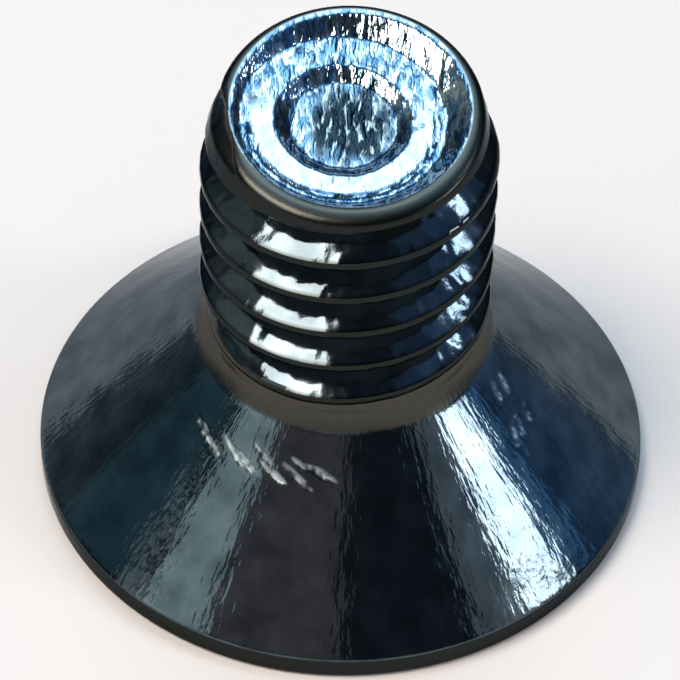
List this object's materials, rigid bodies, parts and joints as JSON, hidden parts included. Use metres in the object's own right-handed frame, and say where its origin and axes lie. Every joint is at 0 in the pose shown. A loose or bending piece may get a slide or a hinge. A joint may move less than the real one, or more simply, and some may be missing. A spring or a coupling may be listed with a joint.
{
  "type": "countersunk screw",
  "caption": "Short countersunk machine screw with a conical head, filleted neck, rolled right-hand thread and cupped end; joins a plate flush to a threaded hole.",
  "frame": {"origin": "centre of the flat of the head, on which the screw stands", "axes": "+Z along the screw's axis, from the flat of the head towards the thread's end; -Y is the side the picture is taken from"},
  "size_m": [0.0104, 0.0104, 0.0084],
  "materials": {
    "plated_steel": "bright plated, dark mirror"
  },
  "bodies": {
    "root": {"screw": "plated_steel"}
  },
  "joints": []
}
